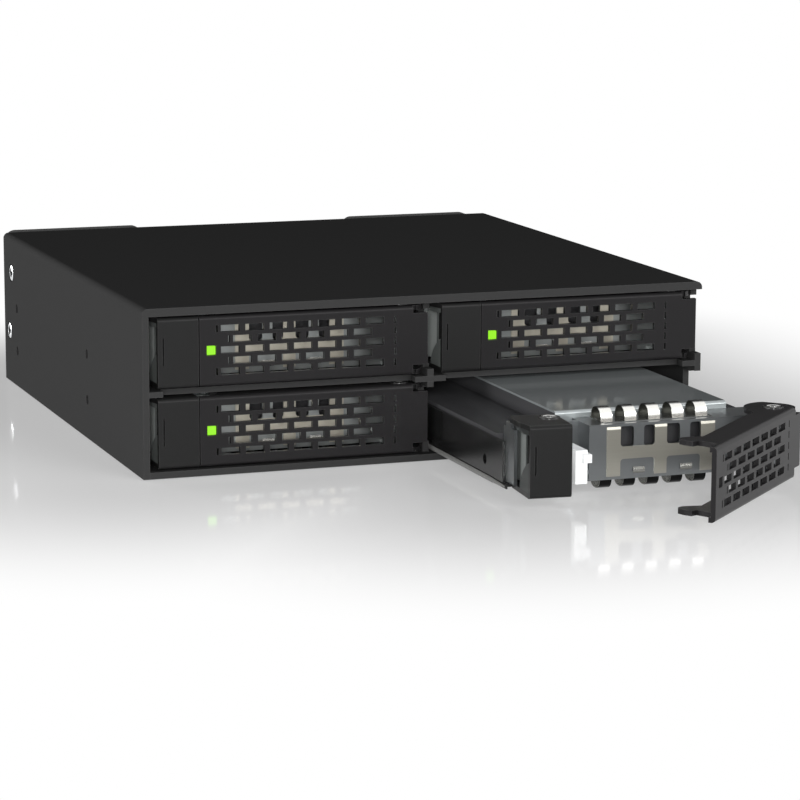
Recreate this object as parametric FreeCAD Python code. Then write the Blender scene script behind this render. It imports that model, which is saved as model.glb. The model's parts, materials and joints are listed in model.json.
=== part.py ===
import FreeCAD, Part
import math
import os

V = FreeCAD.Vector
X_AXIS, Y_AXIS, Z_AXIS = V(1, 0, 0), V(0, 1, 0), V(0, 0, 1)

# Hot swap drive cage for one half-height 5.25 inch bay, holding four drive trays in two rows.
# Millimetres. The origin is the middle of the underside, +X is right seen from the front,
# +Y runs to the rear and +Z is up. The front face is at y = -cage_depth / 2.

# Cage shell
cage_width = 146.0
cage_height = 41.3
cage_depth = 149.0
roof_sheet = 2.0
base_sheet = 1.65
side_wall = 1.6
shelf_sheet = 1.4
mullion_sheet = 1.6
rear_sheet = 1.2
wrap_bend_radius = 1.5
rear_flange_length = 12.0

# Side mounting holes, four on each side
mount_hole_radius = 1.25
mount_hole_pitch_y = 79.25
mount_hole_low_z = 10.0
mount_hole_high_z = 21.84
mount_hole_front_y = 54.5
mount_relief_radius = 3.0

# Front edge of the right wall and of the mullion, cut back where the doors' hinge ends lie
edge_cut_depth = 3.3
stub_below_shelf = 1.35
stub_above_shelf = 1.75
tab_sweep_depth = 6.9
tab_sweep_clearance = 0.4
nub_length = 3.4
cross_half_width = 3.95

# Backplane board and what it carries
board_rear_room = 18.5
board_thickness = 1.6
board_edge_gap = 0.4
vent_width = 30.0
vent_above_floor = 11.0
vent_top_gap = 1.95
socket_width = 42.0
socket_height = 6.4
socket_depth = 8.0
socket_above_floor = 2.6
plug_width = 33.0
plug_thickness = 2.0
plug_length = 4.5
plug_clearance = 0.4
drive_socket_gap = 1.0
spacer_radius = 2.5
spacer_fan_gap = 19.5
spacer_z_margin = 6.0

# Rear connectors
port_gap = 4.0
port_height = 5.0
port_below_top = 13.3
port_fan_gap = 0.5
port_protrusion = 1.0
power_gap = 4.0
power_height = 6.0
power_fan_gap = 4.5
power_z = 12.0
connector_wall = 0.9
connector_recess = 7.0
connector_gap = 0.2

# Fans
fan_edge_gap = 0.65
fan_side_gap = 2.5
fan_depth = 10.0
fan_corner_radius = 3.0
fan_rim = 1.2
fan_hole_inset = 4.0
fan_hole_radius = 2.15
fan_hub_radius = 9.0
hub_bevel = 0.8
fan_plate_depth = 1.8
strut_width = 2.0
blade_count = 7
blade_tip_gap = 0.6
blade_chord = 8.4
blade_thickness = 1.0
blade_pitch_deg = 38.0
rotor_end_gap = 0.6
axle_radius = 1.0
axle_clearance = 0.05
vent_hole_rim = 0.5

# Screws
fan_screw_radius = 1.6
fan_screw_head_radius = 2.8
fan_screw_head_height = 1.6
side_screw_radius = 1.4
side_screw_head_radius = 2.5
side_screw_head_height = 0.9
side_screw_from_rear = (8.7, 5.5)
upper_side_screw_below_top = 10.3
lower_side_screw_z = 14.3
screw_clearance = 0.08

# Trays. The tray frame has its own origin at the latch's lower left front corner
tray_floor_gap = 0.55
tray_left_gap = 2.2
tray_side_gap = 0.45
tray_sheet = 0.8
tray_wall_height = 10.85
tray_bend_radius = 1.2
tray_top_gap = 0.475
tray_end_gap = 0.5
frame_front = 15.5
runner_front = 13.2
runner_height = 1.3
runner_reach = 0.25
floor_notch_depth = 5.5
floor_notch_margin = 0.5
drive_hole_radius = 1.2
drive_hole_front = 26.8
drive_hole_pitch = 76.6
drive_hole_z = 4.65

# Drive
drive_fit = 0.1
drive_deck_z = 11.7
drive_hole_depth = 3.0
drive_front = 21.6
cover_left = 13.3
cover_right_room = 9.45
cover_front = 20.0
cover_rear_room = 9.5
cover_below_top = 0.8
cover_sheet = 0.5
cover_edge_radius = 0.9

# Front bracket of the tray
bracket_sheet = 0.8
bracket_below_top = 2.55
bracket_bottom = 1.35
side_plate_gap = 0.05
side_plate_front = 10.4
side_tab_front = 12.5
side_tab_rear = 15.6
side_tab_rise = 1.2
cross_wall_rear = 16.9
step_x = 17.6
bracket_front = 9.55
bracket_right_gap = 0.05
ledge_radius = 3.2

# Spring clip on the bracket
clip_sheet = 0.25
clip_left = 22.0
clip_to_hinge = 13.0
clip_bottom = 2.1
clip_below_bracket = 0.68
post_tip = 0.6
finger_count = 5
finger_left_margin = 1.0
finger_right_margin = 2.4
finger_share = 0.49
strip_front = 11.2
strip_rear_room = 0.4
finger_front = 12.1
finger_depth = 5.7
finger_rise = 2.5
finger_drop = 1.4
window_left_margin = 3.5
window_right_margin = 3.7
window_bar = 3.15
clip_middle_bar = 2.95
window_share = 0.541
tongue_share = 0.3
tongue_from_left = 0.395

# Door
door_sheet = 1.2
door_free_x = 10.35
door_right_gap = 3.8
tab_low_z = 2.5
tab_below_top = 1.8
door_flange_depth = 7.35
door_bend_radius = 1.0
hinge_from_wall = 5.6
hinge_y = 5.0
lobe_radius = 7.0
lobe_wall_gap = 0.3
slot_rows_margin = 3.33
slot_bar_width = 1.41
slot_bar_height = 0.9
odd_row_first_x = 18.0
odd_row_slots = 7
even_row_slots = 6
slots_raise = 0.2
tick_width = 0.5
tick_gap = 0.75
slots_right_room = 9.89
right_tick_room = 4.9
led_window = 2.4
led_x = 13.3

# Latch
latch_width = 10.1
latch_sheet = 1.2
latch_side_sheet = 0.8
latch_flange_depth = 14.0
latch_pivot_x = 7.6
latch_pivot_y = 10.0
wing_reach = 1.2
wedge_height = 8.4
wedge_depth = 8.0
wedge_foot_z = 2.5
lip_depth = 13.0
lip_height = 1.5
side_front = 4.8
side_rear = 14.6
side_bottom = 2.4
slit_x = 1.15
slit_width = 0.4
slit_low_z = 5.6
slit_below_top = 4.8
slit_depth = 0.5

# Hinge and latch pins
pin_radius = 1.1
pin_clearance = 0.05
pin_head_radius = 2.6
pin_head_height = 0.4
pin_head_sink = 0.35
pin_head_play = 0.05
pin_shoulder_radius = 2.0

# Light pipe
pipe_left = 10.9
pipe_width = 3.0
pipe_low_z = 2.55
pipe_rise = 1.75
pipe_front = 1.8
pipe_block_depth = 4.7
pipe_tail_drop = 1.45
pip_size = 2.0
pip_setback = 0.15

# Latch spring, a bent leaf
leaf_thickness = 0.3
leaf_drop = 3.45
leaf_rise = 0.55
leaf_fixed_x = 13.0
leaf_bend_x = 10.0
leaf_tip_x = 3.2
leaf_tip_y = 3.6

# Rest pose of the lower right tray, its door and its latch
tray_pulled_out = 60.5
door_opened_deg = 44.5
latch_turned_deg = 5.0

# Worked out from the sizes above
front_y = -cage_depth / 2
rear_y = cage_depth / 2
half_width = cage_width / 2
wall_inner_x = half_width - side_wall
roof_z = cage_height - roof_sheet
bay_height = (cage_height - base_sheet - roof_sheet - shelf_sheet) / 2
shelf_low_z = base_sheet + bay_height
shelf_high_z = shelf_low_z + shelf_sheet
bay_width = wall_inner_x - mullion_sheet / 2
bay_floors = {"lower": base_sheet, "upper": shelf_high_z}
bay_lefts = {"left": -wall_inner_x, "right": mullion_sheet / 2}

board_front_y = cage_depth - board_rear_room
board_y = front_y + board_front_y
rear_inner_y = rear_y - rear_sheet
vent_height = bay_height - vent_above_floor - vent_top_gap
socket_middle = socket_above_floor + socket_height / 2

fan_size = cage_height - 2 * fan_edge_gap
fan_x = half_width - fan_side_gap - fan_size / 2
fan_z = cage_height / 2
fan_bore_radius = fan_size / 2 - fan_rim
fan_hole_pitch = fan_size - 2 * fan_hole_inset
vent_hole_radius = fan_bore_radius - vent_hole_rim
spacer_x = fan_x - spacer_fan_gap
between_fans = fan_x - fan_size / 2
port_pitch = (between_fans - port_fan_gap) / 2
port_width = port_pitch - port_gap
port_z = cage_height - port_below_top
power_width = between_fans - power_fan_gap - power_gap / 2
power_x = (power_gap + power_width) / 2
side_screw_places = [(rear_y - side_screw_from_rear[0], cage_height - upper_side_screw_below_top),
                     (rear_y - side_screw_from_rear[1], lower_side_screw_z)]

front_height = bay_height - tray_floor_gap - tray_top_gap
drive_rear = board_front_y - socket_depth - drive_socket_gap
tray_length = drive_rear - tray_end_gap
tray_right_wall_x = bay_width - tray_left_gap
tray_inner_left = tray_side_gap + tray_sheet - tray_left_gap
tray_inner_right = tray_right_wall_x - tray_side_gap - tray_sheet
cover_top = front_height - cover_below_top
cover_width = tray_inner_right - cover_right_room - cover_left
cover_rear = drive_rear - cover_rear_room

hinge_x = tray_right_wall_x - hinge_from_wall
door_full_right_x = tray_right_wall_x - door_right_gap
door_tab_right_x = tray_right_wall_x
tab_high_z = front_height - tab_below_top
slot_row_pitch = (front_height - 2 * slot_rows_margin) / 4
slot_height = slot_row_pitch - slot_bar_height
slot_pitch = (door_full_right_x - slots_right_room - odd_row_first_x) / (odd_row_slots - 1)
slot_length = slot_pitch - slot_bar_width
right_tick_x = door_full_right_x - right_tick_room

bracket_top = front_height - bracket_below_top
bracket_right = tray_inner_right - bracket_right_gap
clip_right = hinge_x - clip_to_hinge
finger_first_x = clip_left + finger_left_margin
finger_pitch = (clip_right - finger_right_margin - finger_first_x) / (finger_count - 1)
finger_width = finger_share * finger_pitch
slots_z = front_height / 2 + slots_raise
window_first_x = clip_left + window_left_margin
window_width = (clip_right - window_right_margin - window_first_x - window_bar) / 2
window_pitch = window_width + window_bar
tongue_width = tongue_share * window_width
clip_top = bracket_top - clip_below_bracket
clip_open_height = clip_top - clip_bottom - clip_middle_bar
window_low_z = clip_top - window_share * clip_open_height
louvre_high_z = window_low_z - clip_middle_bar


def box(x0, x1, y0, y1, z0, z1):
    return Part.makeBox(x1 - x0, y1 - y0, z1 - z0, V(x0, y0, z0))


def drum(radius, start, direction, length):
    return Part.makeCylinder(radius, length, start, direction)


def outline(points, plane, offset):
    # Points are pairs on the named plane. A pair followed by a pair in brackets is an arc's middle.
    def lift(pair):
        if plane == "xy":
            return V(pair[0], pair[1], offset)
        if plane == "xz":
            return V(pair[0], offset, pair[1])
        return V(offset, pair[0], pair[1])
    edges = []
    here = points[0]
    through = None
    for item in points[1:] + [points[0]]:
        if isinstance(item, list):
            through = item
            continue
        if through is None:
            edges.append(Part.makeLine(lift(here), lift(item)))
        else:
            edges.append(Part.Arc(lift(here), lift(through), lift(item)).toShape())
        here = item
        through = None
    return Part.Face(Part.Wire(edges))


def plate(points, low, high):
    return outline(points, "xy", low).extrude(V(0, 0, high - low))


def section_along_y(points, start, end):
    return outline(points, "xz", start).extrude(V(0, end - start, 0))


def section_along_x(points, start, end):
    return outline(points, "yz", start).extrude(V(end - start, 0, 0))


def round_edges(shape, radius, chosen):
    edges = [edge for edge in shape.Edges if chosen(edge)]
    return shape.makeFillet(radius, edges)


def joined(shapes):
    whole = shapes[0].fuse(shapes[1:]) if len(shapes) > 1 else shapes[0]
    return whole.removeSplitter()


def cut_all(shape, tools):
    return shape.cut(tools).removeSplitter()


def runs_along(edge, direction):
    if not isinstance(edge.Curve, Part.Line):
        return False
    return abs(abs(edge.tangentAt(edge.FirstParameter).dot(direction)) - 1) < 1e-6


# Cage

def side_hole_places():
    first = front_y + mount_hole_front_y
    rows = (first, first + mount_hole_pitch_y)
    return [(y, z) for y in rows for z in (mount_hole_low_z, mount_hole_high_z)]


def edge_cuts(x0, x1):
    # Where a wall's front edge stands back from the doors' hinge ends, and further where the tab swings
    cuts = []
    for bay, floor in bay_floors.items():
        low = floor if bay == "lower" else shelf_high_z + stub_above_shelf
        high = shelf_low_z - stub_below_shelf if bay == "lower" else roof_z
        cuts.append(box(x0, x1, front_y - 1, front_y + edge_cut_depth, low, high))
        tray_z = floor + tray_floor_gap
        low = tray_z + tab_low_z - tab_sweep_clearance
        high = tray_z + tab_high_z + tab_sweep_clearance
        cuts.append(box(x0, x1, front_y - 1, front_y + tab_sweep_depth, low, high))
    return cuts


def make_wrap():
    r = wrap_bend_radius
    c = r * (1 - math.sqrt(0.5))
    profile = [(-half_width, 0), (-half_width, cage_height - r), [-half_width + c, cage_height - c],
               (-half_width + r, cage_height), (half_width - r, cage_height),
               [half_width - c, cage_height - c], (half_width, cage_height - r), (half_width, 0),
               (wall_inner_x, 0), (wall_inner_x, roof_z), (-wall_inner_x, roof_z), (-wall_inner_x, 0)]
    wrap = section_along_y(profile, front_y, rear_y)
    tools = edge_cuts(wall_inner_x - 0.1, half_width + 1)
    for side in (-1, 1):
        out = V(side, 0, 0)
        for y, z in side_hole_places():
            tools.append(drum(mount_hole_radius, V(side * (wall_inner_x - 1), y, z), out, side_wall + 2))
        for y, z in side_screw_places:
            start = V(side * (wall_inner_x - 0.1), y, z)
            tools.append(drum(side_screw_radius + screw_clearance, start, out, side_wall + 1))
            sink = V(side * (half_width - side_screw_head_height), y, z)
            tools.append(drum(side_screw_head_radius + screw_clearance, sink, out, side_wall))
    return cut_all(wrap, tools)


def make_base_plate():
    return box(-wall_inner_x, wall_inner_x, front_y, rear_y, 0, base_sheet)


def make_shelf():
    sheet = box(-wall_inner_x, wall_inner_x, front_y + edge_cut_depth, board_y, shelf_low_z, shelf_high_z)
    places = ((-wall_inner_x, -wall_inner_x + nub_length), (wall_inner_x - nub_length, wall_inner_x),
              (-cross_half_width, cross_half_width))
    nubs = [box(x0, x1, front_y, front_y + edge_cut_depth, shelf_low_z, shelf_high_z) for x0, x1 in places]
    shelf = joined([sheet] + nubs)
    reliefs = [drum(mount_relief_radius, V(side * wall_inner_x, y, 0), Z_AXIS, cage_height)
               for side in (-1, 1) for y, z in side_hole_places()[1:2]]
    return cut_all(shelf, reliefs)


def make_mullion():
    half = mullion_sheet / 2
    pieces = []
    for low, high in ((base_sheet, shelf_low_z), (shelf_high_z, roof_z)):
        sheet = box(-half, half, front_y, board_y, low, high)
        pieces.append(cut_all(sheet, edge_cuts(-half - 1, half + 1)))
    return pieces


def port_places():
    return [((number - 1.5) * port_pitch, port_z) for number in range(4)]


def power_places():
    return [(side * power_x, power_z) for side in (-1, 1)]


def make_rear_plate():
    sheet = box(-wall_inner_x, wall_inner_x, rear_inner_y, rear_y, base_sheet, roof_z)
    flange_y = rear_inner_y - rear_flange_length
    flanges = [box(-wall_inner_x, -wall_inner_x + rear_sheet, flange_y, rear_inner_y, base_sheet, roof_z),
               box(wall_inner_x - rear_sheet, wall_inner_x, flange_y, rear_inner_y, base_sheet, roof_z)]
    tools = []
    for side in (-1, 1):
        tools.append(drum(vent_hole_radius, V(side * fan_x, rear_inner_y - 0.1, fan_z), Y_AXIS, rear_sheet + 1))
        for x, z in fan_hole_places(side):
            start = V(x, rear_inner_y - 0.1, z)
            tools.append(drum(fan_screw_radius + screw_clearance, start, Y_AXIS, rear_sheet + 1))
        for y, z in side_screw_places:
            start = V(side * (wall_inner_x - rear_sheet - 1), y, z)
            tools.append(drum(side_screw_radius + screw_clearance, start, V(side, 0, 0), rear_sheet + 2))
    sizes = [(port_places(), port_width, port_height), (power_places(), power_width, power_height)]
    for places, width, height in sizes:
        w = width / 2 + connector_gap
        h = height / 2 + connector_gap
        tools += [box(x - w, x + w, rear_inner_y - 1, rear_y + 1, z - h, z + h) for x, z in places]
    return cut_all(joined([sheet] + flanges), tools)


def make_board():
    edge = wall_inner_x - board_edge_gap
    board = box(-edge, edge, board_y, board_y + board_thickness, base_sheet + board_edge_gap, roof_z - board_edge_gap)
    vents = []
    for left in bay_lefts.values():
        middle = left + bay_width / 2
        for floor in bay_floors.values():
            low = floor + vent_above_floor
            vents.append(box(middle - vent_width / 2, middle + vent_width / 2, board_y - 1,
                             board_y + board_thickness + 1, low, low + vent_height))
    return cut_all(board, vents)


def make_sockets():
    sockets = []
    for left in bay_lefts.values():
        x = left + bay_width / 2
        for floor in bay_floors.values():
            low = floor + socket_above_floor
            front = board_y - socket_depth
            body = box(x - socket_width / 2, x + socket_width / 2, front, board_y, low, low + socket_height)
            w = plug_width / 2 + plug_clearance
            h = plug_thickness / 2 + plug_clearance
            z = floor + socket_middle
            mouth = box(x - w, x + w, front - 1, front + plug_length + plug_clearance, z - h, z + h)
            sockets.append(body.cut(mouth))
    return sockets


def make_connector(x, z, width, height):
    front = board_y + board_thickness
    rear = rear_y + port_protrusion
    shell = box(x - width / 2, x + width / 2, front, rear, z - height / 2, z + height / 2)
    w = width / 2 - connector_wall
    h = height / 2 - connector_wall
    recess = box(x - w, x + w, rear - connector_recess, rear + 1, z - h, z + h)
    tongue_w = w - connector_wall
    tongue = box(x - tongue_w, x + tongue_w, rear - connector_recess, rear - port_protrusion, z - h / 3, z + h / 3)
    return shell.cut(recess).fuse(tongue).removeSplitter()


def make_spacers():
    start_y = board_y + board_thickness
    length = rear_inner_y - start_y
    heights = (base_sheet + spacer_z_margin, roof_z - spacer_z_margin)
    return [drum(spacer_radius, V(side * spacer_x, start_y, z), Y_AXIS, length) for side in (-1, 1) for z in heights]


# Fans

def fan_hole_places(side):
    reach = fan_hole_pitch / 2
    return [(side * fan_x + i * reach, fan_z + k * reach) for i in (-1, 1) for k in (-1, 1)]


def make_fan_frame(side):
    x = side * fan_x
    half = fan_size / 2
    far = rear_y + fan_depth
    frame = box(x - half, x + half, rear_y, far, fan_z - half, fan_z + half)
    frame = round_edges(frame, fan_corner_radius, lambda edge: runs_along(edge, Y_AXIS))
    holes = [drum(fan_hole_radius, V(px, rear_y - 1, pz), Y_AXIS, fan_depth + 2) for px, pz in fan_hole_places(side)]
    frame = frame.cut(holes + [drum(fan_bore_radius, V(x, rear_y - 1, fan_z), Y_AXIS, fan_depth + 2)])
    plate_y = far - fan_plate_depth
    hub = drum(fan_hub_radius, V(x, plate_y, fan_z), Y_AXIS, fan_plate_depth)
    reach = fan_bore_radius + 0.5
    w = strut_width / 2
    struts = []
    for turn in (45, 135, 225, 315):
        strut = box(x, x + reach, plate_y, far, fan_z - w, fan_z + w)
        strut.rotate(V(x, 0, fan_z), Y_AXIS, turn)
        struts.append(strut)
    bore = drum(axle_radius + axle_clearance, V(x, plate_y - 1, fan_z), Y_AXIS, fan_plate_depth + 2)
    return cut_all(joined([frame, hub] + struts), [bore])


def make_fan_rotor(side):
    x = side * fan_x
    near = rear_y + rotor_end_gap
    far = rear_y + fan_depth - fan_plate_depth - rotor_end_gap
    bevel = hub_bevel
    nose = Part.makeCone(fan_hub_radius - bevel, fan_hub_radius, bevel, V(x, near, fan_z), Y_AXIS)
    hub = drum(fan_hub_radius, V(x, near + bevel, fan_z), Y_AXIS, far - near - bevel).fuse(nose)
    axle = drum(axle_radius, V(x, far, fan_z), Y_AXIS, rotor_end_gap + fan_plate_depth - 0.2)
    tip = fan_bore_radius - blade_tip_gap
    ring = drum(tip, V(x, near, fan_z), Y_AXIS, far - near).cut(
        drum(fan_hub_radius - 0.3, V(x, near, fan_z), Y_AXIS, far - near))
    middle = (near + far) / 2
    blades = []
    for number in range(blade_count):
        blade = box(x, x + tip + 1, middle - blade_thickness / 2, middle + blade_thickness / 2,
                    fan_z - blade_chord / 2, fan_z + blade_chord / 2)
        blade.rotate(V(x, middle, fan_z), X_AXIS, blade_pitch_deg)
        blade.rotate(V(x, middle, fan_z), Y_AXIS, number * 360.0 / blade_count)
        blades.append(blade.common(ring))
    return joined([hub, axle] + blades)


def make_fan_screws():
    screws = []
    for side in (-1, 1):
        for x, z in fan_hole_places(side):
            shank = drum(fan_screw_radius, V(x, rear_inner_y, z), Y_AXIS, rear_sheet + fan_depth)
            head = drum(fan_screw_head_radius, V(x, rear_y + fan_depth, z), Y_AXIS, fan_screw_head_height)
            screws.append(joined([shank, head]))
    return screws


def make_side_screws():
    screws = []
    for side in (-1, 1):
        inward = V(-side, 0, 0)
        for y, z in side_screw_places:
            start = V(side * half_width, y, z)
            head = drum(side_screw_head_radius, start, inward, side_screw_head_height)
            shank = drum(side_screw_radius, start, inward, side_wall + rear_sheet + 0.8)
            screws.append(joined([head, shank]))
    return screws


# Tray, in its own frame: x from the latch's left face, y back from the front face, z from its underside

def make_tray_frame():
    left = tray_inner_left - tray_sheet
    right = tray_inner_right + tray_sheet
    middle = (left + right) / 2
    reach = (right - left) / 2 + 0.1
    r = tray_bend_radius
    c = r * (1 - math.sqrt(0.5))
    top = tray_wall_height
    profile = [(left, top), (left, r), [left + c, c], (left + r, 0), (right - r, 0), [right - c, c],
               (right, r), (right, top), (tray_inner_right, top), (tray_inner_right, tray_sheet),
               (tray_inner_left, tray_sheet), (tray_inner_left, top)]
    frame = section_along_y(profile, frame_front, tray_length)
    outer = [left - runner_reach, left + tray_sheet / 2, right - tray_sheet / 2, right + runner_reach]
    runners = [box(x0, x1, runner_front, tray_length, 0, runner_height) for x0, x1 in (outer[:2], outer[2:])]
    runners = [round_edges(rail, 0.45, lambda edge: runs_along(edge, Y_AXIS) and abs(edge.CenterOfMass.x - middle) > reach)
               for rail in runners]
    holes = [drum(drive_hole_radius, V(left - 1, y, drive_hole_z), X_AXIS, right - left + 2)
             for y in (drive_hole_front, drive_hole_front + drive_hole_pitch)]
    notch = box(clip_left - floor_notch_margin, clip_right + floor_notch_margin, frame_front - 1,
                frame_front + floor_notch_depth, -1, tray_sheet + 1)
    return cut_all(joined([frame] + runners), holes + [notch])


def make_drive_body():
    left, right = tray_inner_left + drive_fit, tray_inner_right - drive_fit
    body = box(left, right, drive_front, drive_rear, tray_sheet, drive_deck_z)
    inset = cover_sheet
    raised = box(cover_left + inset, cover_left + cover_width - inset, drive_front, cover_rear, drive_deck_z,
                 cover_top - cover_sheet)
    middle = bay_width / 2 - tray_left_gap
    z = socket_middle - tray_floor_gap
    plug = box(middle - plug_width / 2, middle + plug_width / 2, drive_rear, drive_rear + plug_length,
               z - plug_thickness / 2, z + plug_thickness / 2)
    holes = [drum(drive_hole_radius - 0.3, V(x, y, drive_hole_z), X_AXIS, drive_hole_depth)
             for x in (left, right - drive_hole_depth) for y in (drive_hole_front, drive_hole_front + drive_hole_pitch)]
    return cut_all(joined([body, raised, plug]), holes)


def finger_middles():
    return [finger_first_x + number * finger_pitch for number in range(finger_count)]


def make_drive_cover():
    # A thin plate bent down along its front edge
    low, high, r, t = drive_deck_z, cover_top, cover_edge_radius, cover_sheet
    c = r * (1 - math.sqrt(0.5))
    profile = [(cover_front, low), (cover_front, high - r), [cover_front + c, high - c], (cover_front + r, high),
               (cover_rear, high), (cover_rear, high - t), (cover_front + t, high - t), (cover_front + t, low)]
    return section_along_x(profile, cover_left, cover_left + cover_width)


def window_lefts():
    return [window_first_x, window_first_x + window_pitch]


def ledge(x, y, back, low):
    # A tongue of the bracket that reaches forward and carries a pin at its rounded end
    r = ledge_radius
    points = [(x - r, back), (x - r, y), [x, y - r], (x + r, y), (x + r, back)]
    return plate(points, low, low + bracket_sheet)


def make_front_bracket():
    s = bracket_sheet
    low, high = bracket_bottom, bracket_top
    left = tray_inner_left + side_plate_gap
    walls = [box(left, left + s, side_plate_front, cross_wall_rear, low, high),
             box(left, left + s, side_tab_front, side_tab_rear, high - s, high + side_tab_rise),
             box(left, step_x + s, cross_wall_rear - s, cross_wall_rear, low, high),
             box(step_x, step_x + s, bracket_front, cross_wall_rear, low, high),
             box(step_x, bracket_right, bracket_front, bracket_front + s, low, high),
             box(bracket_right - s, bracket_right, bracket_front, cover_front, low, high),
             box(step_x, bracket_right, bracket_front, cover_front - 0.1, high - s, high),
             box(step_x, bracket_right, bracket_front, cross_wall_rear, low, low + s)]
    for level in (low, high - s):
        walls.append(ledge(latch_pivot_x, latch_pivot_y, cross_wall_rear, level))
        walls.append(ledge(hinge_x, hinge_y, bracket_front + s, level))
    tools = []
    for left in window_lefts():
        tongue_x = left + tongue_from_left * window_width
        for x0, x1 in ((left - 0.1, tongue_x), (tongue_x + tongue_width, left + window_width + 0.1)):
            hole = box(x0, x1, bracket_front - 1, bracket_front + s, window_low_z - 0.1, clip_top)
            tools.append(round_edges(hole, 0.7, lambda edge: runs_along(edge, Y_AXIS)))
    for x, y in ((latch_pivot_x, latch_pivot_y), (hinge_x, hinge_y)):
        tools.append(drum(pin_radius + 0.02, V(x, y, 0), Z_AXIS, front_height))
    return cut_all(joined(walls), tools)


def make_spring_clip():
    # Three posts joined by a middle bar, the posts' tips leaning back
    near = bracket_front - clip_sheet
    apron = box(clip_left, clip_right, near, bracket_front, clip_bottom, clip_top)
    tools = []
    for x in window_lefts():
        window = box(x, x + window_width, near - 1, bracket_front + 1, window_low_z, clip_top + 3)
        louvre = box(x, x + window_width, near - 1, bracket_front + 1, clip_bottom - 3, louvre_high_z)
        tools += [round_edges(hole, 0.8, lambda edge: runs_along(edge, Y_AXIS)) for hole in (window, louvre)]
    lean = [(near - 0.1, clip_top - post_tip), (near, clip_top - post_tip), (bracket_front - 0.05, clip_top + 0.1),
            (near - 0.1, clip_top + 0.1)]
    tools.append(section_along_x(lean, clip_left - 1, clip_right + 1))
    return cut_all(apron, tools)


def finger_loop(x, base, height):
    # A strip that stands up steeply in front, runs level over the crest and comes down at the back
    t = clip_sheet if height > 0 else -clip_sheet
    near, far = finger_front, finger_front + finger_depth
    outer = [(near, base), (near + 0.1, base + 0.72 * height), [near + 0.4, base + 0.93 * height],
             (near + 1.1, base + height), (far - 2.6, base + height), [far - 1.5, base + 0.87 * height],
             (far - 0.8, base + 0.55 * height), (far, base)]
    inner = [(far - 0.3, base), (far - 1.05, base + 0.55 * height - t / 2), [far - 1.7, base + 0.87 * height - 0.8 * t],
             (far - 2.6, base + height - t), (near + 1.1, base + height - t), [near + 0.55, base + 0.93 * height - 0.9 * t],
             (near + 0.35, base + 0.72 * height - t / 2), (near + 0.25, base)]
    return section_along_x(outer + inner, x - finger_width / 2, x + finger_width / 2)


def make_contact_fingers():
    # One strip of fingers above the bracket and one below it
    t = clip_sheet
    top, low = bracket_top + t, bracket_bottom - t
    strips = [[box(clip_left, clip_right, strip_front, cover_front - strip_rear_room, bracket_top, top)],
              [box(clip_left, clip_right, strip_front, cross_wall_rear + 1.5, low, bracket_bottom)]]
    for x in finger_middles():
        strips[0].append(finger_loop(x, top, finger_rise))
        strips[1].append(finger_loop(x, low, -finger_drop))
    return [joined(strip) for strip in strips]


def slot_rows():
    # Each row as its height and the x of its slots' left ends
    rows = []
    for number in range(5):
        z = slots_z + (2 - number) * slot_row_pitch
        odd = number % 2 == 0
        first = odd_row_first_x if odd else odd_row_first_x + slot_pitch / 2
        count = odd_row_slots if odd else even_row_slots
        rows.append((z, [first + k * slot_pitch - slot_length / 2 for k in range(count)]))
    return rows


def make_door_slots():
    tools = []
    h = slot_height / 2
    for number, (z, lefts) in enumerate(slot_rows()):
        tools += [box(x, x + slot_length, -1, door_sheet + 1, z - h, z + h) for x in lefts]
        ticks = [right_tick_x]
        if number != 2:
            ticks.append(lefts[0] - tick_gap - tick_width)
        tools += [box(x, x + tick_width, -1, door_sheet + 1, z - h, z + h) for x in ticks]
    half = led_window / 2
    z = slots_z
    tools.append(box(led_x - half, led_x + half, -1, door_sheet + 1, z - half, z + half))
    return tools


def make_door_flange(low, high):
    # Seen from above: hooked at the free end, and a lobe round the hinge that clears the bay's wall
    x, d = door_free_x, door_flange_depth
    wall = tray_right_wall_x - lobe_wall_gap
    reach = wall - hinge_x
    top_angle = math.acos(reach / lobe_radius)
    end_angle = -math.acos((door_full_right_x - hinge_x) / reach)
    def on_ring(radius, angle):
        return (hinge_x + radius * math.cos(angle), hinge_y + radius * math.sin(angle))
    left_angle = math.pi - math.asin((d - hinge_y) / lobe_radius)
    middle = on_ring(lobe_radius, (top_angle + left_angle) / 2)
    points = [(x + 3.9, 0), (x + 5.6, d - 2.35), (x + 6.0, d - 0.65), (x + 4.5, d), (x + 4.8, d + 1.85),
              (x + 5.7, d + 3.65), [x + 6.9, d + 4.0], (x + 8.3, d + 3.6), (x + 9.7, d + 1.9), (x + 11.0, d),
              on_ring(lobe_radius, left_angle), list(middle), on_ring(lobe_radius, top_angle), (wall, hinge_y),
              list(on_ring(reach, end_angle / 2)), on_ring(reach, end_angle), (door_full_right_x, 0)]
    return plate(points, low, high)


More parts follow.
